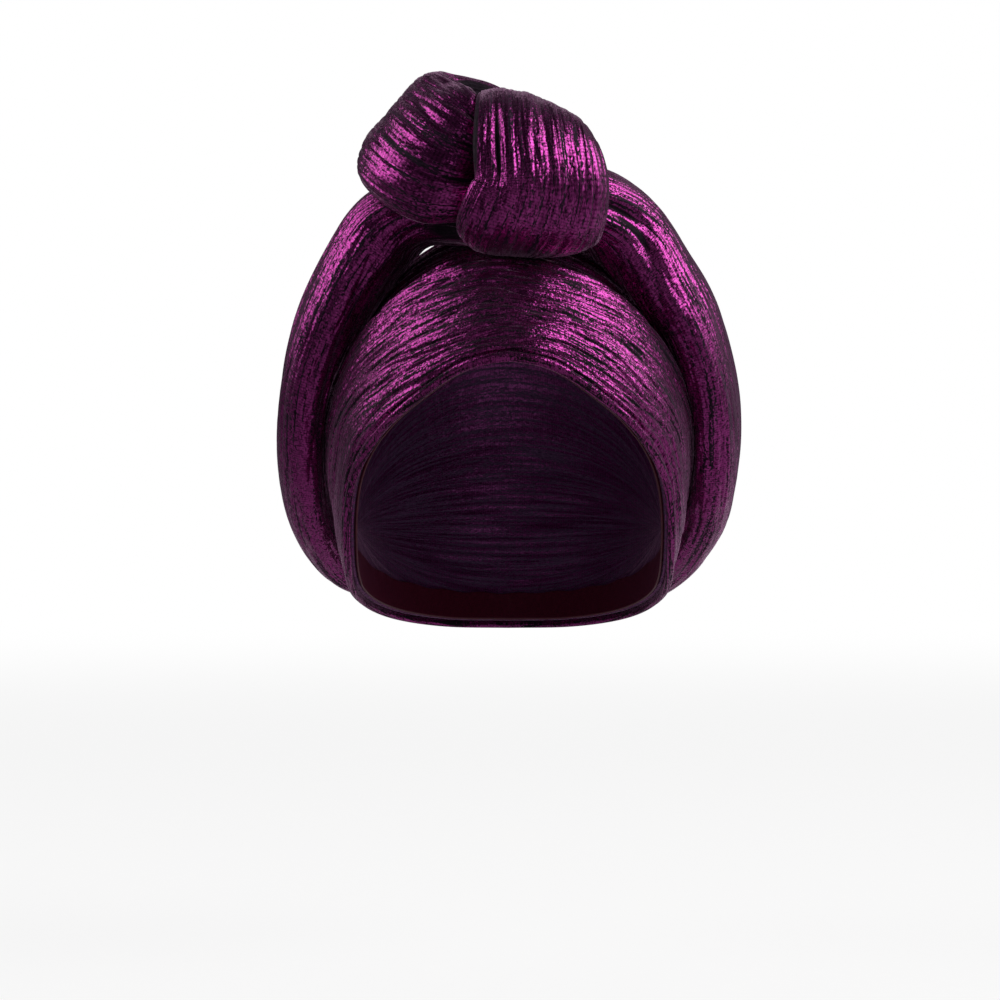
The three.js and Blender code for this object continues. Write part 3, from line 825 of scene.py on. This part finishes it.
def pale_floor():
    """A pale painted studio floor: a wide round sheet, whose paint fades to the backdrop's white far from
    the object. It glows evenly to the camera, and in two soft pools, in front and at the right, to the
    cloth, which reflects them."""
    height, spokes = -0.3, 64
    # Distances between which the paint fades, and size of its speckle in mm.
    fade_start, fade_end, speckle_size = 0.3, 5, 11.1
    # The even glow that the camera sees.
    camera_glow = 0.86
    # Each pool's glow at its middle, the radius that glows fully and the radius where it ends. The front one
    # is narrowed by this factor, and its middle is given as narrowed.
    front_glow, front_full, front_end, front_narrowed = 0.27, 0.2, 1.2, 2.4
    front_middle = (0.5, -1.1, height)
    right_glow, right_full, right_end = 0.26, 0.2, 1.1
    right_middle = (0.4, 0.3, height)
    rings = np.array([0.0, 0.4, 1, 2, 4, 9, 20, 45])
    angle = np.linspace(0, 2 * np.pi, spokes, endpoint=False)
    ways = np.stack([np.cos(angle), np.sin(angle), 0 * angle], -1)
    grid = rings[:, None, None] * ways
    r, k = np.meshgrid(np.arange(len(rings) - 1), np.arange(spokes), indexing="ij")
    turn = (k + 1) % spokes
    faces = np.stack([r * spokes + k, (r + 1) * spokes + k, (r + 1) * spokes + turn, r * spokes + turn], -1)
    mesh = bpy.data.meshes.new("floor")
    mesh.from_pydata((grid.reshape(-1, 3) + (0, 0, height)).tolist(), [], faces.reshape(-1, 4).tolist())
    made, tree = new_material("matt_white_floor_paint")
    place = node(tree, "TexCoord", output="Object")
    distance = node(tree, "VectorMath", {0: place}, "Value", operation="LENGTH")
    fade = node(tree, "MapRange", {"Value": distance, "From Min": fade_start, "From Max": fade_end},
                interpolation_type="SMOOTHERSTEP")
    speckle = node(tree, "TexNoise", {"Vector": place, "Scale": 1 / (speckle_size * MM), "Detail": 3})
    paint = node(tree, "Mix", {FACTOR: speckle, COLOUR_A: linear("#5c5b5b"), COLOUR_B: linear("#666565")},
                 COLOUR_OUT, data_type="RGBA")
    seen = node(tree, "LightPath", output="Is Camera Ray")
    paint = node(tree, "Mix", {FACTOR: seen, COLOUR_A: linear("#4c4a4c"), COLOUR_B: paint}, COLOUR_OUT,
                 data_type="RGBA")
    narrowed = node(tree, "VectorMath", {0: place, 1: (front_narrowed, 1, 1)}, operation="MULTIPLY")
    from_front = node(tree, "VectorMath", {0: narrowed, 1: front_middle}, "Value", operation="DISTANCE")
    front = node(tree, "MapRange", {
        "Value": from_front, "From Min": front_full, "From Max": front_end,
        "To Min": front_glow, "To Max": 0,
    })
    from_right = node(tree, "VectorMath", {0: place, 1: right_middle}, "Value", operation="DISTANCE")
    right = node(tree, "MapRange", {
        "Value": from_right, "From Min": right_full, "From Max": right_end,
        "To Min": right_glow, "To Max": 0,
    })
    pools = node(tree, "Math", {0: front, 1: right}, operation="MAXIMUM")
    glow = node(tree, "Math", {0: seen, 1: camera_glow}, operation="MULTIPLY")
    glow = node(tree, "Math", {0: glow, 1: pools}, operation="MAXIMUM")
    painted = node(tree, "BsdfPrincipled", {
        "Base Color": paint, "Roughness": 0.8, "Emission Strength": glow, "Emission Color": linear(WHITE),
    })
    white = node(tree, "Emission", {"Color": linear(WHITE), "Strength": 1})
    share = node(tree, "Math", {0: fade, 1: seen}, operation="MULTIPLY")
    mixed = node(tree, "MixShader", {0: share, 1: painted, 2: white})
    node(tree, "OutputMaterial", {"Surface": mixed})
    mesh.materials.append(made)
    linked("floor", mesh)


def softbox(name, turn, lift, distance, width, height, power):
    """A soft light that faces the object from its turn and lift, and fades from its middle to its edges."""
    t, up = np.radians((turn, lift))
    way = Vector((np.cos(up) * np.sin(t), -np.cos(up) * np.cos(t), np.sin(up)))
    lamp = bpy.data.lights.new(name, "AREA")
    lamp.shape = "RECTANGLE"
    lamp.size, lamp.size_y = width, height
    lamp.energy = power
    lamp.use_nodes = True
    tree = lamp.node_tree
    tree.nodes.clear()
    place = node(tree, "NewGeometry", output="Parametric")
    from_middle = node(tree, "VectorMath", {0: place, 1: LAMP_MIDDLE}, "Value", operation="DISTANCE")
    fade = node(tree, "MapRange", {
        "Value": from_middle, "From Min": LAMP_FULL, "From Max": LAMP_FADED,
        "To Min": 1, "To Max": LAMP_LEAST,
    }, interpolation_type="SMOOTHSTEP")
    node(tree, "OutputLight", {"Surface": node(tree, "Emission", {"Strength": fade})})
    made = linked(name, lamp)
    made.location = Vector(LIGHT_AIM) + distance * way
    made.rotation_euler = (-way).to_track_quat("-Z", "Y").to_euler()
    made.visible_camera = False


def studio():
    """White behind, dim grey for everything but the camera, and soft lights: a main one at either side, weak
    wide ones low down at the sides and in front, and a weak one behind."""
    dim_strength = 0.03
    world = bpy.data.worlds.new("studio")
    world.use_nodes = True
    tree = world.node_tree
    tree.nodes.clear()
    seen = node(tree, "LightPath", output="Is Camera Ray")
    dim = node(tree, "Background", {"Color": linear("#e8e8f0"), "Strength": dim_strength})
    white = node(tree, "Background", {"Color": linear(WHITE), "Strength": 1})
    node(tree, "OutputWorld", {"Surface": node(tree, "MixShader", {0: seen, 1: dim, 2: white})})
    bpy.context.scene.world = world
    for row in SOFTBOXES:
        softbox(*row)
    bpy.context.scene.view_settings.view_transform = "Standard"


def front_camera():
    """A level camera in front of the face opening, 1.9 m off, that takes in 0.42 m at the head's middle."""
    distance, seen_width, sensor = 1.9, 0.42, 36
    middle_x, middle_z = -0.0038, -0.1134
    data = bpy.data.cameras.new("front_camera")
    data.sensor_width = sensor
    data.lens = sensor * distance / seen_width
    camera = linked("front_camera", data)
    camera.location = (middle_x, -distance, middle_z)
    camera.rotation_euler = (np.pi / 2, 0, 0)
    bpy.context.scene.camera = camera


# Assembly.

front_camera()
# The face of the cap and the ties: hard magenta glints on a near-black plum ground.
face_cloth = metal_thread_brocade(
    "crinkled_metal_thread_brocade", bright="#b8459b", deep="#451339",
    ground="#1a0d1c", pale_ground="#361e38", shine=0.22, bare=0.43, crimp=2)
# The band's face: the same cloth pulled flatter, with longer dark pleats between its glints, and its
# ground painted darker as shade, since the band gets less light than the ties.
band_face = metal_thread_brocade(
    "pleated_metal_thread_brocade", bright="#b8459b", deep="#451339",
    ground="#100812", pale_ground="#261628", shine=0.2, bare=0.48, crimp=1.4)
# The reverse: the film's dull back among loose threads, so it is paler, softer and more even. It is
# also painted paler still, as painted light, so that the cap's inside, where little light reaches, shows.
back_cloth = metal_thread_brocade(
    "brocade_reverse", bright="#b05aa4", deep="#74346c",
    ground="#5e3d66", pale_ground="#86668e", shine=0.45, bare=0.5, crimp=2)

cap_cloth, cap_area = cap((back_cloth, face_cloth))
band_cloth, band_area = band((band_face,))
facing_satin, facing_area = facing((wine_satin(),))
left_sections, right_sections = tie_sections(-1, LEFT_KNOT), tie_sections(1, RIGHT_KNOT)
left_tie = tie("left_tie_padded", left_sections, LEFT_FOLDS_AND_SHADE, (face_cloth,), seed=31)
right_tie = tie("right_tie_padded", right_sections, RIGHT_FOLDS_AND_SHADE, (face_cloth,), seed=57, other=left_sections)

for piece, stands_for, slot in (
    (cap_cloth, "cap", "brocade"),
    (band_cloth, "forehead_band", "brocade"),
    (facing_satin, "hem_facing", "facing"),
    (left_tie, "left_tie", "brocade"),
    (right_tie, "right_tie", "brocade"),
):
    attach(piece, "root")
    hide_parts(stands_for)

pale_floor()
studio()
